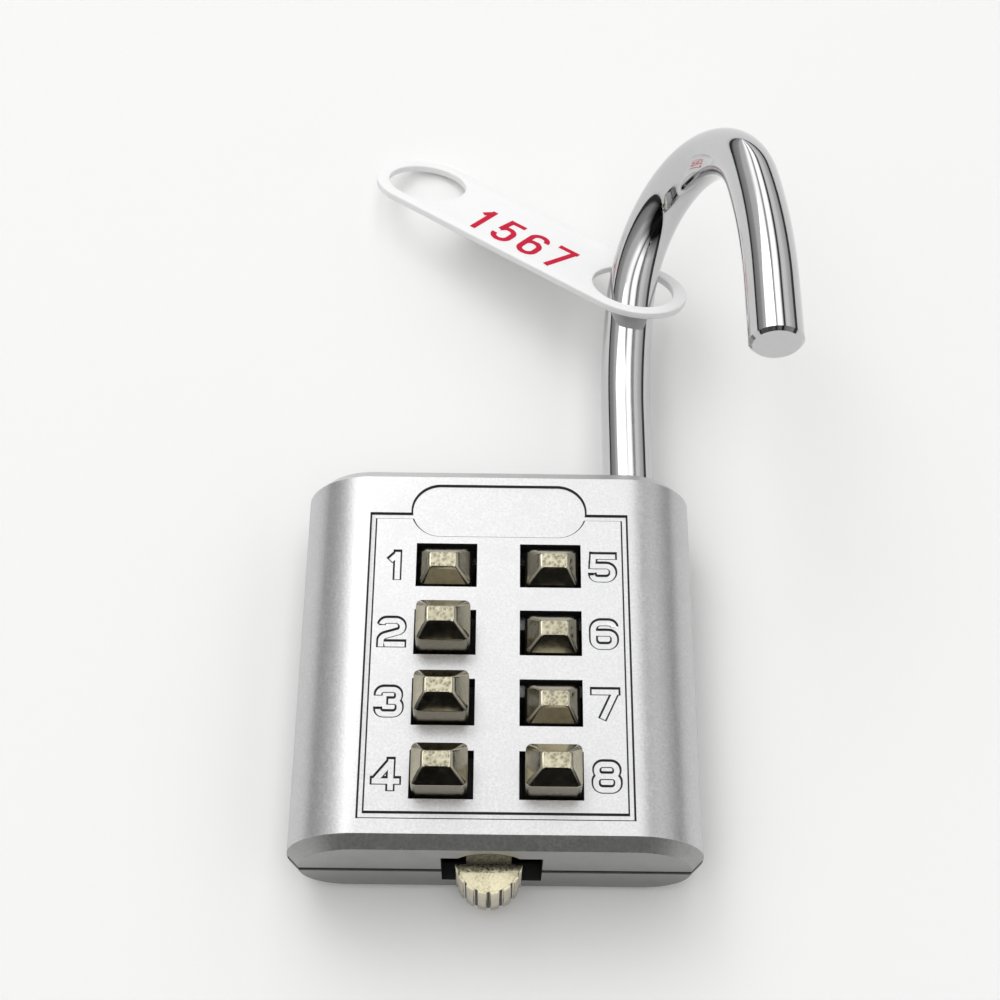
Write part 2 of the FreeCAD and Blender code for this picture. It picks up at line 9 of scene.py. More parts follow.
import bmesh
import bpy
from mathutils import Euler, Matrix, Vector

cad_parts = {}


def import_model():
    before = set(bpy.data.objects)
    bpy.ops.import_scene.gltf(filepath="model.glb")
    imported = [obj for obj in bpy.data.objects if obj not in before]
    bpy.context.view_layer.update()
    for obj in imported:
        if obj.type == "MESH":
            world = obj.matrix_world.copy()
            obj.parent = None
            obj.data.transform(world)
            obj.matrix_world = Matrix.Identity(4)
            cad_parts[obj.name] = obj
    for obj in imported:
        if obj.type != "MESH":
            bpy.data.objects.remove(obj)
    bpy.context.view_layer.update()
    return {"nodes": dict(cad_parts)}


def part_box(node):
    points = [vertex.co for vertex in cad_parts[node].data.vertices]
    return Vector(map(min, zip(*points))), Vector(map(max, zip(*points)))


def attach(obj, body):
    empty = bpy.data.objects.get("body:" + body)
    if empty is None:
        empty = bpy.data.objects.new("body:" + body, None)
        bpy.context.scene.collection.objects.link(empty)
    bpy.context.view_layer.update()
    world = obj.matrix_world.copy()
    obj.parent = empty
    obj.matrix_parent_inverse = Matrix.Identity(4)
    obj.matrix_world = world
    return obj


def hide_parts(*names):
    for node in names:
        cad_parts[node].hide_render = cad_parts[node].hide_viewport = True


MM = 0.001

# Camera
CAMERA_PLACE = (-0.7 * MM, -69.6 * MM, 170.1 * MM)
CAMERA_TURN = (0.502, -0.005, 0.010)
CAMERA_LENS = 62.9

# Cut lines, name field and digits of the front casting
CUT_SLOPE = 0.18 * MM      # how far a cut's wall leans outwards, from its floor to the face
CUT_ABOVE = 0.1 * MM       # cutters reach this far over the face
FRAME_DEPTH = 0.26 * MM    # just under the floor of the plain cuts in the CAD shell
FRAME_LINE = 0.74 * MM     # width at the face, as all these sizes
FRAME_X = 13.08 * MM
FRAME_TOP = 14.78 * MM
FRAME_BOTTOM = -17.53 * MM
FIELD_X = 8.93 * MM
FIELD_TOP = 18.08 * MM
FIELD_BOTTOM = 12.05 * MM
DIGIT_DEPTH = 0.2 * MM
DIGIT_STROKE = 0.88 * MM
DIGIT_HEIGHT = 3.42 * MM
DIGIT_WIDTH = 2.95 * MM
DIGIT_X = 10.42 * MM
DIGIT_ROWS = (8.83 * MM, 1.5 * MM, -5.82 * MM, -13.18 * MM)

# Windows of the keys and slot of the opener
WINDOW_X = 5.2 * MM
WINDOW_W = 6.1 * MM
WINDOW_H = 4.82 * MM
WINDOW_ROWS = (8.875 * MM, 1.525 * MM, -5.825 * MM, -13.175 * MM)
WINDOW_REACH = 0.05 * MM   # faces this far outside a window still count as its walls
SLOT_X = 5.3 * MM
SLOT_Y = -20.1 * MM
SLOT_INNER = -15.7 * MM
SLOT_BACK = 1.3 * MM
SLOT_FRONT = 11.5 * MM

# Parting line
SEAM_Z = 6.05 * MM
SEAM_HALF = 0.45 * MM      # painted shade this far to each side

# How far a face leans, as a share of its normal
UPRIGHT = 0.1              # less than this towards Z: a wall of a window
LOWER_END = 0.45           # more than this towards -Y: the lower end or its bevel, which gets painted shade
LEVEL = 0.98               # more than this towards Z: a flat

# Keys
KEY_X = 5.35 * MM
KEY_W = 5.3 * MM
KEY_H = 4.25 * MM
KEY_R = 0.55 * MM
KEY_CAP = 5.4 * MM         # from the shoulder down to the cap's end
KEY_OVERLAP = 0.2 * MM     # the cast foot reaches this far into the cap
KEY_ROOF = 1.5 * MM
ROOF_H = 1.5 * MM
ROOF_OFFSET = 0.2 * MM     # the flat lies this far outwards
# Half width and height of each step of the roof, the last one the flat's
ROOF_STEPS = ((1.62 * MM, 1.22 * MM), (1.52 * MM, 1.34 * MM), (1.38 * MM, 1.44 * MM), (1.2 * MM, 1.5 * MM))
SHOULDER_SOFT = 0.08 * MM

# Shackle
ROD_R = 2.7 * MM
NECK_R = 1.8 * MM
HEAD_R = 2.6 * MM
LEG = Vector((13.8 * MM, 0, 6.65 * MM))
LEG_SPACING = 27.4 * MM
SWING = math.radians(117.2)
CROWN_Y = 31.0 * MM        # where the legs start to bend
CROWN_TOP = 11.2974 * MM   # centre of the top arc above that
CROWN_R = 12.3026 * MM
SIDE_R = 58.6687 * MM
TOE_Y = 24.1 * MM
TOE_BEVEL = 0.35 * MM
SHOULDER_Y = 15.6 * MM
HEAD_TOP = 1.7 * MM
HEAD_Y = 0.1 * MM
POCKET_Y = 27.6 * MM
POCKET_HALF = 1.45 * MM
POCKET_DEPTH = 2.85 * MM

# Thumb piece
THUMB_AXIS = (-0.6 * MM, -19.9 * MM)
THUMB_R = 3.25 * MM
THUMB_GROOVE = 0.2 * MM    # side faces deeper than this lie in a groove
THUMB_RIM = 0.1 * MM

# Tag
TAG_HOLE = Vector((14.81 * MM, 46.18 * MM, 8.95 * MM))  # centre of the hole on the rod
TAG_TURN = [math.radians(a) for a in (-26.0, -10.6, -38.6)]
TAG_SPAN = 31.0 * MM
TAG_R = 6.15 * MM
TAG_HOLE_R = 4.65 * MM
TAG_T = 0.8 * MM
TAG_RIM = 0.16 * MM
TAG_NUMBER = "1567"
TAG_DIGIT = (2.75 * MM, 5.5 * MM)
TAG_STROKE = 0.72 * MM
TAG_PITCH = 3.87 * MM
TAG_NUMBER_AT = (0.15 * MM, -1.85 * MM)
TAG_SLANT = -0.16
INK = 0.03 * MM
INK_LAYER = 0.2            # each further stroke of a digit is thicker by this share

# Lines of the digits in a unit square: corners with the radius that rounds each. An end with radius 0
# is drawn out by half a stroke, and one with radius 1 isn't. A line whose ends both have a radius is closed.
DIGIT_LINES = {
    "1": [[(0.12, 0.8, 0), (0.66, 0.93, 0)], [(1.0, 1.0, 0), (1.0, 0.0, 0)]],
    "2": [
        [(0.0, 0.76, 1), (0.0, 1.0, 0.26), (1.0, 1.0, 0.32), (1.0, 0.56, 0.26), (0.0, 0.3, 0.26),
         (0.0, 0.0, 0)],
        [(0.0, 0.0, 0), (1.0, 0.0, 0)],
    ],
    "3": [
        [(0.0, 0.71, 1), (0.0, 1.0, 0.26), (0.95, 1.0, 0.26), (0.95, 0.52, 0.26), (0.6, 0.52, 0)],
        [(0.6, 0.52, 0), (1.0, 0.52, 0.26), (1.0, 0.0, 0.3), (0.0, 0.0, 0.26), (0.0, 0.27, 1)],
    ],
    "4": [
        [(0.72, 0.0, 0), (0.72, 1.0, 0)], [(0.66, 0.93, 0), (0.08, 0.33, 0)],
        [(0.0, 0.25, 0), (1.0, 0.25, 0)],
    ],
    "5": [
        [(1.0, 1.0, 0), (0.07, 1.0, 0)], [(0.07, 1.0, 0), (0.03, 0.58, 0)],
        [(0.03, 0.58, 0), (1.0, 0.58, 0.32), (1.0, 0.0, 0.34), (0.0, 0.0, 0.26), (0.0, 0.25, 1)],
    ],
    "6": [
        [(1.0, 0.77, 1), (1.0, 1.0, 0.26), (0.0, 1.0, 0.36), (0.0, 0.0, 0.34), (1.0, 0.0, 0.32),
         (1.0, 0.56, 0.28), (0.5, 0.56, 0)],
        [(0.5, 0.56, 0), (0.15, 0.56, 0)],
    ],
    "7": [[(0.0, 1.0, 0), (1.0, 1.0, 0)], [(0.93, 0.9, 0), (0.42, 0.0, 0)]],
    "8": [
        [(0.04, 1.0, 0.28), (0.04, 0.53, 0.26), (0.96, 0.53, 0.26), (0.96, 1.0, 0.28)],
        [(0.0, 0.53, 0.26), (0.0, 0.0, 0.3), (1.0, 0.0, 0.3), (1.0, 0.53, 0.26)],
    ],
}

# Rounder digits of the tag
TAG_LINES = {
    "1": [[(0.0, 0.8, 0), (0.7, 0.93, 0)], [(1.0, 1.0, 0), (1.0, 0.0, 0)]],
    "5": [
        [(0.95, 1.0, 0), (0.16, 1.0, 0)], [(0.16, 1.0, 0), (0.06, 0.54, 0)],
        [(0.12, 0.52, 0), (0.3, 0.62, 0.25), (1.0, 0.62, 0.48), (1.0, 0.0, 0.5), (0.0, 0.0, 0.48),
         (0.0, 0.22, 1)],
    ],
    "6": [
        [(1.0, 0.8, 1), (1.0, 1.0, 0.46), (0.0, 1.0, 0.5), (0.0, 0.0, 0.5), (1.0, 0.0, 0.5), (1.0, 0.6, 0.48),
         (0.5, 0.6, 0)],
        [(0.6, 0.6, 0), (0.0, 0.6, 0.45), (0.0, 0.36, 0)],
    ],
    "7": [[(0.0, 1.0, 0), (1.0, 1.0, 0)], [(0.93, 0.95, 0), (0.35, 0.0, 0)]],
}

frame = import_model()
FACE_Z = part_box("front_shell")[1].z


# Mesh helpers

def only(obj):
    """Deselects everything and makes obj the one selected, active object."""
    bpy.ops.object.select_all(action="DESELECT")
    obj.select_set(True)
    bpy.context.view_layer.objects.active = obj
    return obj


def new_object(name, data):
    """Object of a mesh, curve, lamp or camera, in the scene."""
    obj = bpy.data.objects.new(name, data)
    bpy.context.scene.collection.objects.link(obj)
    return obj


def edit(obj, kind="VERT"):
    """Enters edit mode with nothing selected."""
    only(obj)
    bpy.ops.object.mode_set(mode="EDIT")
    bpy.ops.mesh.select_mode(type=kind)
    bpy.ops.mesh.select_all(action="DESELECT")


def pick(obj, kind, test):
    """Selects the vertices, edges or faces of the edited mesh that pass a test."""
    bpy.ops.mesh.select_mode(type=kind)
    bpy.ops.mesh.select_all(action="DESELECT")
    mesh = bmesh.from_edit_mesh(obj.data)
    for item in {"VERT": mesh.verts, "EDGE": mesh.edges, "FACE": mesh.faces}[kind]:
        if test(item):
            item.select_set(True)
    mesh.select_flush_mode()
    bmesh.update_edit_mesh(obj.data)


def leave():
    """Leaves edit mode."""
    bpy.ops.object.mode_set(mode="OBJECT")


def merge(obj):
    """Merges doubles and turns every face outwards."""
    edit(obj)
    bpy.ops.mesh.select_all(action="SELECT")
    bpy.ops.mesh.remove_doubles(threshold=1e-7)
    bpy.ops.mesh.normals_make_consistent(inside=False)
    leave()
    return obj


def move_mesh(obj, matrix):
    """Places a piece in its mesh, its object at the origin."""
    obj.data.transform(matrix)
    obj.matrix_world = Matrix()
    return obj


def copy_of(node, name):
    """Merged copy of a CAD node."""
    obj = new_object(name, frame["nodes"][node].data.copy())
    obj.data.name = name
    only(obj)
    bpy.ops.object.mode_set(mode="EDIT")
    bpy.ops.mesh.select_all(action="SELECT")
    bpy.ops.mesh.remove_doubles(threshold=1e-7)
    bpy.ops.mesh.customdata_custom_splitnormals_clear()
    leave()
    return obj


def smooth(obj, angle=30):
    """Shades smooth across edges softer than an angle."""
    only(obj)
    bpy.ops.object.shade_smooth_by_angle(angle=math.radians(angle))
    return obj


def place(obj, body, nodes):
    """Rides obj on its body in place of its CAD nodes."""
    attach(obj, body)
    if nodes:
        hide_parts(*nodes)
    return obj


def give(obj, *materials):
    """Gives a piece its materials, the first one all over."""
    obj.data.materials.clear()
    for mat in materials:
        obj.data.materials.append(mat)


def apply_boolean(obj, cutter):
    """Cuts one mesh out of another, its walls keeping the cutter's materials."""
    cut = obj.modifiers.new("cut", "BOOLEAN")
    cut.operation = "DIFFERENCE"
    cut.object = cutter
    cut.solver = "MANIFOLD"
    cut.material_mode = "TRANSFER"
    only(obj)
    bpy.ops.object.modifier_apply(modifier=cut.name)
    bpy.data.objects.remove(cutter)


def soften(obj, width, angle=40, segments=2):
    """Rounds every edge sharper than an angle."""
    bevel = obj.modifiers.new("soft", "BEVEL")
    bevel.width = width
    bevel.segments = segments
    bevel.limit_method = "ANGLE"
    bevel.angle_limit = math.radians(angle)
    only(obj)
    bpy.ops.object.modifier_apply(modifier=bevel.name)
    return obj


def flat_first(obj):
    """Shades large faces flat, so that only the narrow faces of an edge turn the light."""
    obj.modifiers.new("flat_first", "WEIGHTED_NORMAL").keep_sharp = True
    only(obj)
    bpy.ops.object.modifier_apply(modifier="flat_first")


def poly_curve(name, lines, closed, **settings):
    """Curve object of straight-sided lines of points (x, y, z) or (x, y, z, thickness)."""
    curve = bpy.data.curves.new(name, "CURVE")
    for points in lines:
        spline = curve.splines.new("POLY")
        spline.points.add(len(points) - 1)
        for point, at in zip(spline.points, points):
            point.co = (*at[:3], 1)
            point.radius = at[3] if len(at) > 3 else 1
        spline.use_cyclic_u = closed
    for key, value in settings.items():
        setattr(curve, key, value)
    return new_object(name, curve)


def curve_mesh(obj):
    """Turns a curve into a clean mesh."""
    only(obj)
    bpy.ops.object.convert(target="MESH")
    return merge(bpy.context.view_layer.objects.active)


def rounded_line(corners, closed=False, steps=7):
    """Points of a line whose corners (x, y, radius) are rounded."""
    points = []
    count = len(corners)
    for i, (x, y, radius) in enumerate(corners):
        here = Vector((x, y))
        if radius == 0 or (not closed and i in (0, count - 1)):
            points.append(here)
            continue
        before = (Vector(corners[i - 1][:2]) - here).normalized()
        after = (Vector(corners[(i + 1) % count][:2]) - here).normalized()
        half = before.angle(after) / 2
        centre = here + (before + after).normalized() * radius / math.sin(half)
        start = here + before * radius / math.tan(half) - centre
        end = here + after * radius / math.tan(half) - centre
        turn = start.angle_signed(end)
        for step in range(steps + 1):
            points.append(centre + Matrix.Rotation(-turn * step / steps, 2) @ start)
    return points


def lengthened(points, reach, ends=(True, True)):
    """The line with its ends drawn out."""
    made = list(points)
    if ends[0]:
        made[0] = points[0] + (points[0] - points[1]).normalized() * reach
    if ends[1]:
        made[-1] = points[-1] + (points[-1] - points[-2]).normalized() * reach
    return made


def digit_strokes(lines, x, y, width, height, stroke):
    """Strokes of a digit that measures width by height about x, y, each with whether it is closed."""
    w = width - stroke
    h = height - stroke
    made = []
    for corners in lines:
        ends = (corners[0][2] == 0, corners[-1][2] == 0)
        closed = not any(ends)
        scaled = [(x + (u - 0.5) * w, y + (v - 0.5) * h, r * w) for u, v, r in corners]
        points = rounded_line(scaled, closed)
        made.append((points if closed else lengthened(points, stroke / 2, ends), closed))
    return made


def ribbon(points, width):
    """Outline of a flat stroke along an open line."""
    sides = ([], [])
    for i, here in enumerate(points):
        before = points[max(i - 1, 0)]
        after = points[min(i + 1, len(points) - 1)]
        along = (after - before).normalized()
        across = Vector((-along.y, along.x)) * width / 2
        sides[0].append(here + across)
        sides[1].append(here - across)
    return sides[0] + sides[1][::-1]


# Materials

def new_material(name):
    """Material with its node tree and its shader."""
    mat = bpy.data.materials.new(name)
    mat.use_nodes = True
    return mat, mat.node_tree, mat.node_tree.nodes["Principled BSDF"]


def node(tree, kind, values=None, **settings):
    """New shader node with its settings and input values."""
    made = tree.nodes.new(kind)
    for key, value in settings.items():
        setattr(made, key, value)
    for key, value in (values or {}).items():
        made.inputs[key].default_value = value
    return made


def grain_group():
    """Fine cast or sprayed grain on a piece's own coordinates."""
    tree = bpy.data.node_groups.new("fine_grain", "ShaderNodeTree")
    for label, value in (("Grains per mm", 4.0), ("Coarse share", 0.5)):
        socket = tree.interface.new_socket(label, in_out="INPUT", socket_type="NodeSocketFloat")
        socket.default_value = value
    for label in ("Height", "Clouds"):
        tree.interface.new_socket(label, in_out="OUTPUT", socket_type="NodeSocketFloat")
    inside = tree.nodes.new("NodeGroupInput")
    out = tree.nodes.new("NodeGroupOutput")
    coords = node(tree, "ShaderNodeTexCoord")
    scale = node(tree, "ShaderNodeMath", {1: 1 / MM}, operation="MULTIPLY")
    fine = node(tree, "ShaderNodeTexNoise", {"Detail": 3.0, "Roughness": 0.65})
    cells = node(tree, "ShaderNodeTexVoronoi", feature="F1")
    mix = node(tree, "ShaderNodeMix", data_type="FLOAT")
    cell_scale = node(tree, "ShaderNodeMath", {1: 0.55}, operation="MULTIPLY")
    clouds = node(tree, "ShaderNodeTexNoise", {"Detail": 2.0, "Roughness": 0.5})
    cloud_scale = node(tree, "ShaderNodeMath", {1: 0.08}, operation="MULTIPLY")
    link = tree.links.new
    link(inside.outputs["Grains per mm"], scale.inputs[0])
    for texture in (fine, cells, clouds):
        link(coords.outputs["Object"], texture.inputs["Vector"])
    link(scale.outputs[0], fine.inputs["Scale"])
    link(scale.outputs[0], cell_scale.inputs[0])
    link(scale.outputs[0], cloud_scale.inputs[0])
    link(cell_scale.outputs[0], cells.inputs["Scale"])
    link(cloud_scale.outputs[0], clouds.inputs["Scale"])
    link(inside.outputs["Coarse share"], mix.inputs["Factor"])
    link(fine.outputs["Fac"], mix.inputs["A"])
    link(cells.outputs["Distance"], mix.inputs["B"])
    link(mix.outputs["Result"], out.inputs["Height"])
    link(clouds.outputs["Fac"], out.inputs["Clouds"])
    return tree


GRAIN = grain_group()


def grained(name, color, metallic, rough, grains, coarse, bump, tone=0.0, clouds=0.0, low=1.0, **extra):
    """Finish whose tone, gloss and surface vary with its grain and, more slowly, with its clouds. Painted
    shade:
    its tone falls to the share low near the floor."""
    mat, tree, shader = new_material(name)
    link = tree.links.new
    grain = node(tree, "ShaderNodeGroup", node_tree=GRAIN)
    grain.inputs["Grains per mm"].default_value = grains
    grain.inputs["Coarse share"].default_value = coarse
    gloss = node(tree, "ShaderNodeMapRange",
                 {"From Min": 0.3, "From Max": 0.7, "To Min": rough[0], "To Max": rough[1]})
    height = node(tree, "ShaderNodeBump", {"Strength": bump, "Distance": 0.05 * MM})
    colors = {}
    for key, sign in (("A", -1), ("B", 1)):
        colors[key] = (*[min(1, c * (1 + sign * tone)) for c in color], 1)
    tint = node(tree, "ShaderNodeMix", colors, data_type="RGBA")
    stretch = node(tree, "ShaderNodeMapRange", {"From Min": 0.3, "From Max": 0.7})
    link(grain.outputs["Height"], gloss.inputs["Value"])
    link(gloss.outputs["Result"], shader.inputs["Roughness"])
    link(grain.outputs["Height"], height.inputs["Height"])
    link(height.outputs["Normal"], shader.inputs["Normal"])
    link(grain.outputs["Height"], stretch.inputs["Value"])
    link(stretch.outputs["Result"], tint.inputs["Factor"])
    shade = node(tree, "ShaderNodeMix", {"B": (*[c * (1 - clouds) for c in color], 1)}, data_type="RGBA")
    patches = node(tree, "ShaderNodeMapRange", {"From Min": 0.5, "From Max": 0.75, "To Max": 0.6})
    link(grain.outputs["Clouds"], patches.inputs["Value"])
    link(patches.outputs["Result"], shade.inputs["Factor"])
    link(tint.outputs["Result"], shade.inputs["A"])
    link(shade.outputs["Result"], shader.inputs["Base Color"])
    # Painted shade: the colour darkens towards the floor, from full at 9 mm to the share low at 3 mm
    if low < 1:
        coords = node(tree, "ShaderNodeTexCoord")
        split = node(tree, "ShaderNodeSeparateXYZ")
        height_shade_ramp = node(tree, "ShaderNodeMapRange", {"From Min": 3 * MM, "From Max": 9 * MM, "To Min": low})
        height_shade_mix = node(tree, "ShaderNodeMix", {"Factor": 1.0}, data_type="RGBA", blend_type="MULTIPLY")
        link(coords.outputs["Object"], split.inputs[0])
        link(split.outputs["Z"], height_shade_ramp.inputs["Value"])
        link(shade.outputs["Result"], height_shade_mix.inputs["A"])
        link(height_shade_ramp.outputs["Result"], height_shade_mix.inputs["B"])
        link(height_shade_mix.outputs["Result"], shader.inputs["Base Color"])
    shader.inputs["Metallic"].default_value = metallic
    for key, value in extra.items():
        shader.inputs[key].default_value = value
    return mat


# Colour, metallic, roughness from and to, grains per mm, coarse share, bump, swing of the tone, darkening by
# clouds, share of the tone left near the floor by painted shade
# The paints darken towards the floor by their last number: painted shade
SILVER = grained("silver_paint", (0.59, 0.59, 0.594), 0.88, (0.28, 0.42), 6.0, 0.3, 0.28, 0.12, 0.06, 0.42)
# Darker copy of the silver paint for the lower end and its bevel: painted shade
SILVER_SHADED_END = grained("silver_paint_shaded_end", (0.36, 0.36, 0.355), 0.85, (0.32, 0.46), 6.0, 0.3, 0.32, 0.14,
                     0.12, 0.7)
# Near-black walls of the cut lines, digits and thumb grooves: painted shade in the creases
CREASE_SHADE = grained("painted_crease_shade", (0.035, 0.035, 0.035), 0.3, (0.45, 0.6), 7.0, 0.35, 0.2, 0.12)
# Near-black for the shade in the parting line, the window walls, the opener's slot and under the key caps:
# painted shade
SHADE_BLACK = grained("painted_shade_black", (0.018, 0.018, 0.018), 0.2, (0.5, 0.7), 4.0, 0.4, 0.2, 0.2)
CHROME = grained("chrome", (0.57, 0.57, 0.575), 1.0, (0.03, 0.08), 1.2, 0.2, 0.035, 0.02, 0.08)
KEY_METAL = grained("antique_nickel", (0.44, 0.41, 0.32), 1.0, (0.1, 0.18), 2.2, 0.3, 0.06, 0.16, 0.25)
KEY_CAST = grained("nickel_casting", (0.36, 0.335, 0.245), 1.0, (0.18, 0.4), 4.5, 0.6, 1.0, 0.45, 0.35)
# Darker copy of the antique nickel for the caps' upright walls: painted shade
KEY_SHADED_WALL = grained("antique_nickel_shaded_wall", (0.28, 0.255, 0.195), 1.0, (0.25, 0.4), 2.2, 0.3, 0.12, 0.2, 0.3)
NICKEL = grained("champagne_nickel", (0.62, 0.57, 0.4), 1.0, (0.22, 0.4), 5.5, 0.5, 0.5, 0.2, 0.1)
NICKEL_SIDE = grained("champagne_nickel_side", (0.66, 0.61, 0.48), 1.0, (0.14, 0.24), 3.0, 0.3, 0.1, 0.1,
                      0.2)
STEEL = grained("plate_steel", (0.45, 0.45, 0.45), 1.0, (0.28, 0.4), 3.0, 0.3, 0.15, 0.1, 0.1)
PLASTIC = grained("white_plastic", (0.93, 0.93, 0.93), 0.0, (0.36, 0.46), 3.0, 0.2, 0.03, 0.015, 0.02)
RED_INK = grained("red_ink", (0.6, 0.004, 0.04), 0.0, (0.5, 0.6), 5.0, 0.2, 0.05, 0.1, 0.1,
                  **{"Specular IOR Level": 0.1})


KEY_FINISHES_AND_SHADE = (KEY_METAL, KEY_CAST, SHADE_BLACK, KEY_SHADED_WALL)


# Front casting

def channel(points, width, depth):
    """Cutter with leaning walls along a closed line on the face."""
    half = width / 2 - CUT_SLOPE
    top = width / 2 + CUT_SLOPE * CUT_ABOVE / depth
    corners = [(-half, -depth, 0), (half, -depth, 0), (top, CUT_ABOVE, 0), (-top, CUT_ABOVE, 0)]
    section = poly_curve("section", [corners], True)
    path = poly_curve("channel", [[(p.x, p.y, FACE_Z) for p in points]], True, dimensions="3D",
                      twist_mode="Z_UP", bevel_mode="OBJECT", bevel_object=section)
    cutter = curve_mesh(path)
    bpy.data.objects.remove(section)
    return cutter


def trench(points, width, depth):
    """Cutter with leaning walls and ends along an open line on the face."""
    rise = CUT_SLOPE * CUT_ABOVE / depth
    low = ribbon(lengthened(points, -CUT_SLOPE), width - 2 * CUT_SLOPE)
    high = ribbon(lengthened(points, rise), width + 2 * rise)
    count = len(low)
    places = [(p.x, p.y, FACE_Z - depth) for p in low] + [(p.x, p.y, FACE_Z + CUT_ABOVE) for p in high]
    sides = [(i, (i + 1) % count, count + (i + 1) % count, count + i) for i in range(count)]
    data = bpy.data.meshes.new("trench")
    data.from_pydata(places, [], [tuple(range(count))[::-1], tuple(range(count, 2 * count)), *sides])
    return merge(new_object("trench", data))


def field_cutter():
    """Cutter of the bare name field, a shallow pocket with round ends."""
    radius = (FIELD_TOP - FIELD_BOTTOM) / 2
    high = FRAME_DEPTH + CUT_ABOVE
    middle = (0, (FIELD_TOP + FIELD_BOTTOM) / 2, FACE_Z - FRAME_DEPTH + high / 2)
    bpy.ops.mesh.primitive_cone_add(vertices=96, radius1=radius - CUT_SLOPE, depth=high,
                                    radius2=radius + CUT_SLOPE * CUT_ABOVE / FRAME_DEPTH,
                                    location=middle, rotation=(0, 0, math.pi / 96))
    cutter = bpy.context.object
    move_mesh(cutter, cutter.matrix_world.copy())
    edit(cutter)
    for side in (-1, 1):
        pick(cutter, "VERT", lambda v: v.co.x * side > 0)
        bpy.ops.transform.translate(value=(side * (FIELD_X - radius), 0, 0))
    leave()
    return cutter


def line_cutters():
    """Cutters of the frame line and the digits."""
    middle = FRAME_LINE / 2
    x = FRAME_X - middle
    top = FRAME_TOP - middle
    bottom = FRAME_BOTTOM + middle
    inner = FIELD_X - FRAME_LINE
    made = []
    for start, end in (((-x, bottom), (x, bottom)), ((-x, bottom), (-x, top)), ((x, bottom), (x, top)),
                       ((-x, top), (-inner, top)), ((x, top), (inner, top))):
        line = lengthened([Vector(start), Vector(end)], middle)
        made.append(trench(line, FRAME_LINE, FRAME_DEPTH))
    for number in range(1, 9):
        side = -1 if number <= 4 else 1
        width = DIGIT_WIDTH / 2 if number == 1 else DIGIT_WIDTH
        y = DIGIT_ROWS[(number - 1) % 4]
        lines = DIGIT_LINES[str(number)]
        for points, closed in digit_strokes(lines, side * DIGIT_X, y, width, DIGIT_HEIGHT, DIGIT_STROKE):
            cutter = channel if closed else trench
            made.append(cutter(points, DIGIT_STROKE, DIGIT_DEPTH))
    return made


def in_shade(at):
    """Whether a point lies in a key window or in the opener's slot."""
    if at.y < SLOT_Y:
        return False
    if at.y < SLOT_INNER:
        return abs(at.x) < SLOT_X and SLOT_BACK < at.z < SLOT_FRONT
    near_x = abs(abs(at.x) - WINDOW_X) < WINDOW_W / 2 + WINDOW_REACH
    return near_x and any(abs(at.y - row) < WINDOW_H / 2 + WINDOW_REACH for row in WINDOW_ROWS)


def darken(obj):
    """Gives painted shade, a near-black in slot 2, to the parting line, the window walls and the opener's
    slot, and a darker copy of the paint, painted shade in slot 3, to the lower end and its bevel."""
    edit(obj)
    for side in (-1, 1):
        bpy.ops.mesh.select_all(action="SELECT")
        bpy.ops.mesh.bisect(plane_co=(0, 0, SEAM_Z + side * SEAM_HALF), plane_no=(0, 0, 1))
    leave()
    # Slot 2 is painted near-black shade, slot 3 the darker paint of painted shade
    for face in obj.data.polygons:
        seam = abs(face.center.z - SEAM_Z) < SEAM_HALF
        wall = abs(face.normal.z) < UPRIGHT or face.center.y < SLOT_INNER
        if seam or wall and in_shade(face.center):
            face.material_index = 2
        elif face.normal.y < -LOWER_END and face.center.y < SLOT_INNER and face.material_index == 0:
            face.material_index = 3


def back_casting():
    """Back cover, with painted shade along the parting line."""
    cover = copy_of("back_cover", "back_casting")
    give(cover, SILVER, CREASE_SHADE, SHADE_BLACK, SILVER_SHADED_END)
    darken(cover)
    smooth(cover)
    return place(cover, "case", ["back_cover"])


def front_casting():
    """Front shell with its frame line, name field and digits cut with leaning walls."""
    shell = copy_of("front_shell", "front_casting")
    give(shell, SILVER, CREASE_SHADE, SHADE_BLACK, SILVER_SHADED_END)
    for cutter in [field_cutter(), *line_cutters()]:
        give(cutter, SILVER, CREASE_SHADE, SHADE_BLACK)
        # The floors of the cuts keep the paint, their walls get painted shade
        for face in cutter.data.polygons:
            face.material_index = 0 if face.normal.z < -0.9 else 1
        apply_boolean(shell, cutter)
    darken(shell)
    smooth(shell)
    return place(shell, "case", ["front_shell"])


# Keys

def key_cap():
    """Cap of a left key: rounded prism under a pyramid roof, its shoulder's middle at the origin."""
    bpy.ops.mesh.primitive_cube_add(size=1)
    cap = bpy.context.object
    cap.name = "key_cap"
    move_mesh(cap, Matrix.LocRotScale((0, 0, -KEY_CAP / 2), None, (KEY_W, KEY_H, KEY_CAP)))
    edit(cap, "EDGE")
    pick(cap, "EDGE", lambda e: abs(e.verts[0].co.z - e.verts[1].co.z) > KEY_CAP / 2)
    bpy.ops.mesh.bevel(offset=KEY_R, segments=4)
    pick(cap, "FACE", lambda f: f.normal.z > 0.9)
    wide, deep, level = KEY_W / 2, KEY_H / 2, 0
    for next_wide, height in ROOF_STEPS:
        next_deep = (KEY_H - (KEY_H - ROOF_H) * height / KEY_ROOF) / 2
        shift = ROOF_OFFSET * (height - level) / KEY_ROOF
        middle = (-ROOF_OFFSET * height / KEY_ROOF, 0, height)
        bpy.ops.mesh.extrude_region_move(TRANSFORM_OT_translate={"value": (-shift, 0, height - level)})
        bpy.ops.transform.resize(value=(next_wide / wide, next_deep / deep, 1), center_override=middle)
        wide, deep, level = next_wide, next_deep, height
    pick(cap, "EDGE", lambda e: max(abs(v.co.z) for v in e.verts) < 1e-6)
    bpy.ops.mesh.bevel(offset=SHOULDER_SOFT, segments=2)
    leave()
    give(cap, *KEY_FINISHES_AND_SHADE)
    for face in cap.data.polygons:
        # Upright walls get the darker nickel, painted shade; the top flat gets its rough casting
        if abs(face.normal.z) < 0.2:
            face.material_index = 3
        elif face.normal.z > LEVEL and face.center.z > KEY_ROOF * 0.99:
            face.material_index = 1
    return cap


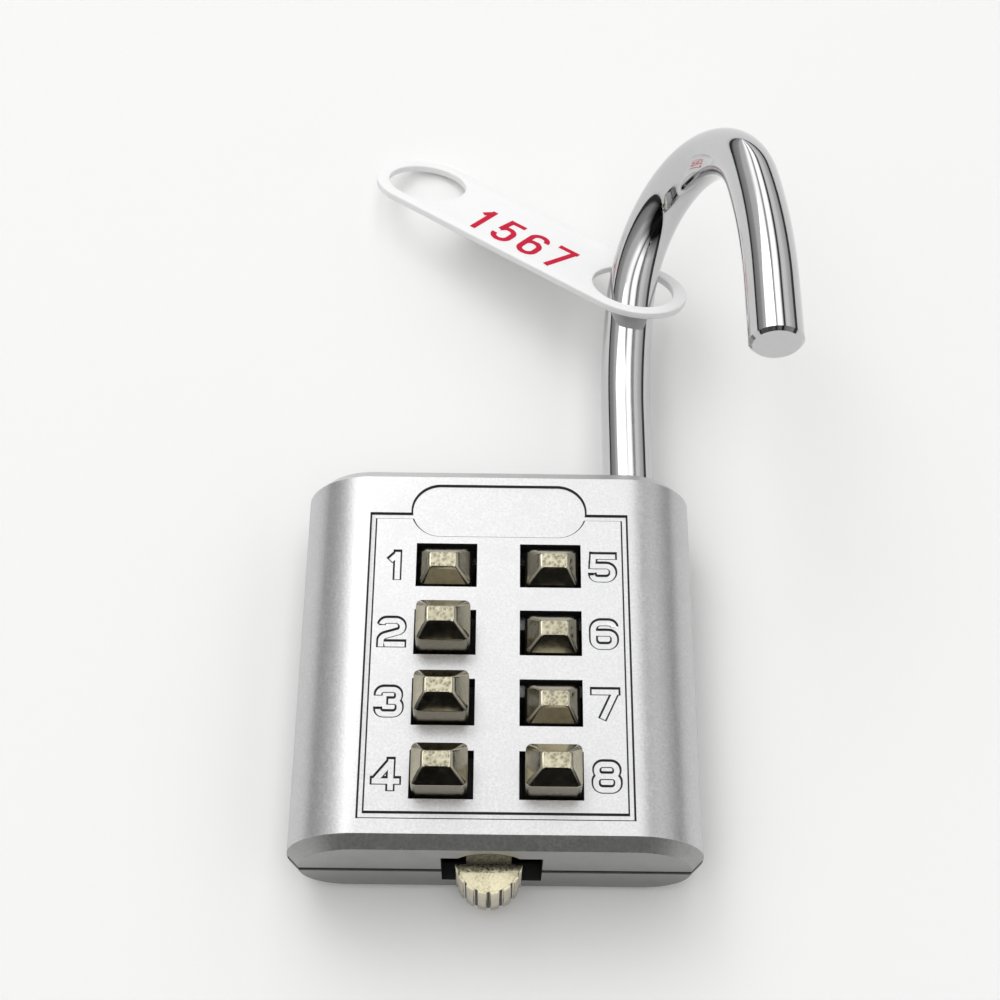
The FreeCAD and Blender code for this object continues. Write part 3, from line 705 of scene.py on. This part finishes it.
def key(number, cap):
    """A key: the modelled cap on the cast foot, flange and stem of its CAD node."""
    name = f"key_{number}"
    low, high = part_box(name)
    shoulder = high.z - KEY_ROOF
    side = -1 if number <= 4 else 1
    foot = copy_of(name, f"{name}_cast")
    give(foot, *KEY_FINISHES_AND_SHADE)
    # The whole foot is painted near-black: painted shade of the gap it lies in
    for face in foot.data.polygons:
        face.material_index = 2
    edit(foot)
    bpy.ops.mesh.select_all(action="SELECT")
    bpy.ops.mesh.bisect(plane_co=(0, 0, shoulder - KEY_CAP + KEY_OVERLAP), plane_no=(0, 0, 1),
                        clear_outer=True, use_fill=True)
    leave()
    top = new_object("cap", cap.data.copy())
    row = WINDOW_ROWS[(number - 1) % 4]
    turn = Matrix.Rotation(math.pi if side > 0 else 0, 4, "Z")
    move_mesh(top, Matrix.Translation((side * KEY_X, row, shoulder)) @ turn)
    only(foot)
    top.select_set(True)
    bpy.ops.object.join()
    smooth(foot, 32)
    flat_first(foot)
    return place(foot, name, [name])


# Shackle

def on_shackle(inward, y):
    """Place of a point in the plane of the swung shackle, by its distance from the heel leg's line."""
    return LEG + Vector((-inward * math.cos(SWING), y, inward * math.sin(SWING)))


def rod_line():
    """Centre line of the rod with its thickness, from the toe over the bow to the heel's head."""
    half = LEG_SPACING / 2
    meet = math.atan2(CROWN_TOP, SIDE_R - half)
    neck = NECK_R / ROD_R
    head = HEAD_R / ROD_R
    step = 0.01 * MM
    bow = []
    for i in range(16):
        angle = meet * i / 16
        bow.append((SIDE_R * (1 - math.cos(angle)), CROWN_Y + SIDE_R * math.sin(angle)))
    for i in range(49):
        angle = meet + (math.pi - 2 * meet) * i / 48
        bow.append((half - CROWN_R * math.cos(angle), CROWN_Y + CROWN_TOP + CROWN_R * math.sin(angle)))
    bow += [(LEG_SPACING - d, y) for d, y in reversed(bow[:16])]
    line = [(LEG_SPACING, TOE_Y, 1 - TOE_BEVEL / ROD_R), (LEG_SPACING, TOE_Y + TOE_BEVEL, 1)]
    line += [(d, y, 1) for d, y in reversed(bow)]
    line += [(0, SHOULDER_Y, 1), (0, SHOULDER_Y - step, neck), (0, HEAD_TOP + step, neck),
             (0, HEAD_TOP, head), (0, HEAD_Y, head)]
    return [(*on_shackle(d, y), thickness) for d, y, thickness in line]


def chrome_rod():
    """Bent rod with a bevelled toe, its bolt pocket, and the necked heel with its head."""
    rod = poly_curve("chrome_rod", [rod_line()], False, dimensions="3D", bevel_depth=ROD_R,
                     bevel_resolution=22, use_fill_caps=True)
    rod = curve_mesh(rod)
    give(rod, CHROME)
    bpy.ops.mesh.primitive_cube_add(size=1)
    pocket = bpy.context.object
    give(pocket, CHROME)
    size = (2 * POCKET_DEPTH, 2 * POCKET_HALF, 2 * POCKET_HALF)
    turn = Matrix.Rotation(SWING, 4, "Y")
    at = Matrix.Translation(on_shackle(LEG_SPACING - ROD_R, POCKET_Y))
    move_mesh(pocket, at @ turn @ Matrix.Diagonal((*size, 1)))
    apply_boolean(rod, pocket)
    smooth(rod, 30)
    return place(rod, "shackle", ["shackle"])


# Thumb piece

def thumb_piece():
    """Lobed thumb piece with soft rims."""
    thumb = copy_of("opener", "thumb_piece")
    soften(thumb, THUMB_RIM)
    give(thumb, NICKEL, NICKEL_SIDE, CREASE_SHADE)
    # Upright faces inside the groove get painted shade, the outer ones the glossier nickel
    for face in thumb.data.polygons:
        if abs(face.normal.z) < 0.3:
            away = (face.center.xy - Vector(THUMB_AXIS)).length
            face.material_index = 2 if away < THUMB_R - THUMB_GROOVE else 1
    smooth(thumb)
    return place(thumb, "gate", ["opener"])


# Tag

def tag_matrix():
    """From the plane of the strip, its middle at the origin, to its place on the rod."""
    turn = Euler(TAG_TURN, "XYZ").to_matrix().to_4x4()
    return Matrix.Translation(TAG_HOLE) @ turn @ Matrix.Translation((-TAG_SPAN / 2, 0, 0))


def circle(x, radius, start, end, steps):
    """Points of an arc about (x, 0)."""
    return [(x + radius * math.cos(start + (end - start) * i / steps),
             radius * math.sin(start + (end - start) * i / steps), 0) for i in range(steps + 1)]


def tag_strip():
    """White strip with round ends, a hole in each and soft rims."""
    half = TAG_SPAN / 2
    quarter = math.pi / 2
    rim = circle(half, TAG_R, -quarter, quarter, 48) + circle(-half, TAG_R, quarter, 3 * quarter, 48)
    holes = [circle(x, TAG_HOLE_R, 0, 2 * math.pi, 72)[:-1] for x in (-half, half)]
    strip = poly_curve("tag_strip", [rim, *holes], True, dimensions="2D", fill_mode="BOTH",
                       extrude=TAG_T / 2 - TAG_RIM, bevel_depth=TAG_RIM, bevel_resolution=3, offset=-TAG_RIM)
    strip = curve_mesh(strip)
    move_mesh(strip, tag_matrix())
    give(strip, PLASTIC)
    smooth(strip)
    return place(strip, "shackle", ["code_tag"])


def tag_number():
    """Red printed digits of the tag, a thin layer on its front."""
    strokes = []
    width, height = TAG_DIGIT
    for i, text in enumerate(TAG_NUMBER):
        x = TAG_NUMBER_AT[0] + (i - (len(TAG_NUMBER) - 1) / 2) * TAG_PITCH
        wide = width / 2 if text == "1" else width
        digit = digit_strokes(TAG_LINES[text], x, TAG_NUMBER_AT[1], wide, height, TAG_STROKE)
        for layer, (points, _) in enumerate(digit):
            outline = [(*p, 0) for p in ribbon(points, TAG_STROKE)]
            stroke = poly_curve("stroke", [outline], True, dimensions="2D", fill_mode="BOTH",
                                extrude=INK * (1 + INK_LAYER * layer))
            strokes.append(curve_mesh(stroke))
    number = only(strokes[0])
    for stroke in strokes[1:]:
        stroke.select_set(True)
    bpy.ops.object.join()
    number.name = "tag_number"
    slant = Matrix.Identity(4)
    slant[0][1] = TAG_SLANT
    slant[2][3] = TAG_T / 2
    move_mesh(number, tag_matrix() @ slant)
    give(number, RED_INK)
    return place(number, "shackle", [])


# Studio

def floor():
    """Pale matt floor under the lock."""
    bpy.ops.mesh.primitive_plane_add(size=40, location=(0, 0, 0))
    plane = bpy.context.object
    plane.name = "floor"
    mat, tree, shader = new_material("pale_floor")
    shader.inputs["Base Color"].default_value = (0.95, 0.95, 0.943, 1)
    shader.inputs["Roughness"].default_value = 0.8
    give(plane, mat)


def world():
    """Pale room: bright above with dark gaps, grey to the left and right, dark low on the viewer's side."""
    studio = bpy.data.worlds.new("studio")
    bpy.context.scene.world = studio
    studio.use_nodes = True
    tree = studio.node_tree
    link = tree.links.new
    background = tree.nodes["Background"]
    coords = node(tree, "ShaderNodeTexCoord")
    split = node(tree, "ShaderNodeSeparateXYZ")
    link(coords.outputs["Generated"], split.inputs[0])
    sideways = node(tree, "ShaderNodeMath", operation="ARCTAN2")
    link(split.outputs["X"], sideways.inputs[0])
    link(split.outputs["Z"], sideways.inputs[1])
    share = node(tree, "ShaderNodeMapRange", {"From Min": -math.pi, "From Max": math.pi})
    link(sideways.outputs[0], share.inputs["Value"])
    bands = node(tree, "ShaderNodeValToRGB")
    # Light level by angle about Y, in degrees from straight above, to the right with a plus
    stops = ((-180, 0.4), (-96, 0.4), (-92, 0.02), (-84, 0.02),                    # floor, horizon
             (-80, 0.14), (-62, 0.2), (-56, 0.32), (-36, 0.36), (-32, 0.5),        # left wall
             (-22, 0.9), (-12, 0.8), (-8, 0.22), (-3, 0.22), (1, 0.9), (16, 0.95), # ceiling with a gap
             (21, 0.6), (25, 0.04), (31, 0.02), (34, 0.36), (40, 0.46), (52, 0.42),
             (58, 0.34), (74, 0.26), (78, 0.03), (92, 0.03),                       # right wall, horizon
             (96, 0.4), (180, 0.4))
    ramp = bands.color_ramp
    while len(ramp.elements) < len(stops):
        ramp.elements.new(0.5)
    for element, (angle, value) in zip(ramp.elements, stops):
        element.position = 0.5 + angle / 360
        element.color = (value, value, value, 1)
    link(share.outputs["Result"], bands.inputs["Fac"])
    front = node(tree, "ShaderNodeMapRange",
                 {"From Min": -0.5, "From Max": -0.85, "To Min": 1.0, "To Max": 0.01})
    link(split.outputs["Y"], front.inputs["Value"])
    tone = node(tree, "ShaderNodeMix", {"Factor": 1.0}, data_type="RGBA", blend_type="MULTIPLY")
    link(bands.outputs["Color"], tone.inputs["A"])
    link(front.outputs["Result"], tone.inputs["B"])
    link(tone.outputs["Result"], background.inputs["Color"])
    background.inputs["Strength"].default_value = 2.0


def lamp(name, place_mm, size_mm, power):
    """Soft lamp that looks at the middle of the back face."""
    data = bpy.data.lights.new(name, "AREA")
    data.shape = "RECTANGLE"
    data.size = size_mm[0] * MM
    data.size_y = size_mm[1] * MM
    data.energy = power
    obj = new_object(name, data)
    obj.location = [c * MM for c in place_mm]
    obj.rotation_euler = (-obj.location).to_track_quat("-Z", "Y").to_euler()


def camera():
    """Camera at the photograph's angle."""
    data = bpy.data.cameras.new("camera")
    data.lens = CAMERA_LENS
    data.sensor_width = 36
    data.clip_start = 0.01
    obj = new_object("camera", data)
    rx, ry, rz = CAMERA_TURN
    turn = Matrix.Rotation(-rz, 3, "Z") @ Matrix.Rotation(-rx, 3, "X") @ Matrix.Rotation(-ry, 3, "Y")
    obj.rotation_euler = turn.transposed().to_euler()
    obj.location = CAMERA_PLACE
    bpy.context.scene.camera = obj


floor()
world()
camera()
lamp("softbox", (-260, 420, 620), (420, 420), 0.85)
front_casting()
back_casting()
cap = key_cap()
for number in range(1, 9):
    key(number, cap)
bpy.data.objects.remove(cap)
chrome_rod()
thumb_piece()
tag_strip()
tag_number()
for name in ("key_carrier", "detent_spring", "gate_plate", "retaining_clip", "spring_cap",
             "shackle_spring", "opener_spring_left", "opener_spring_right",
             "rivet_1", "rivet_2", "rivet_3", "rivet_4"):
    give(frame["nodes"][name], STEEL)

bpy.context.scene.view_settings.view_transform = "Standard"
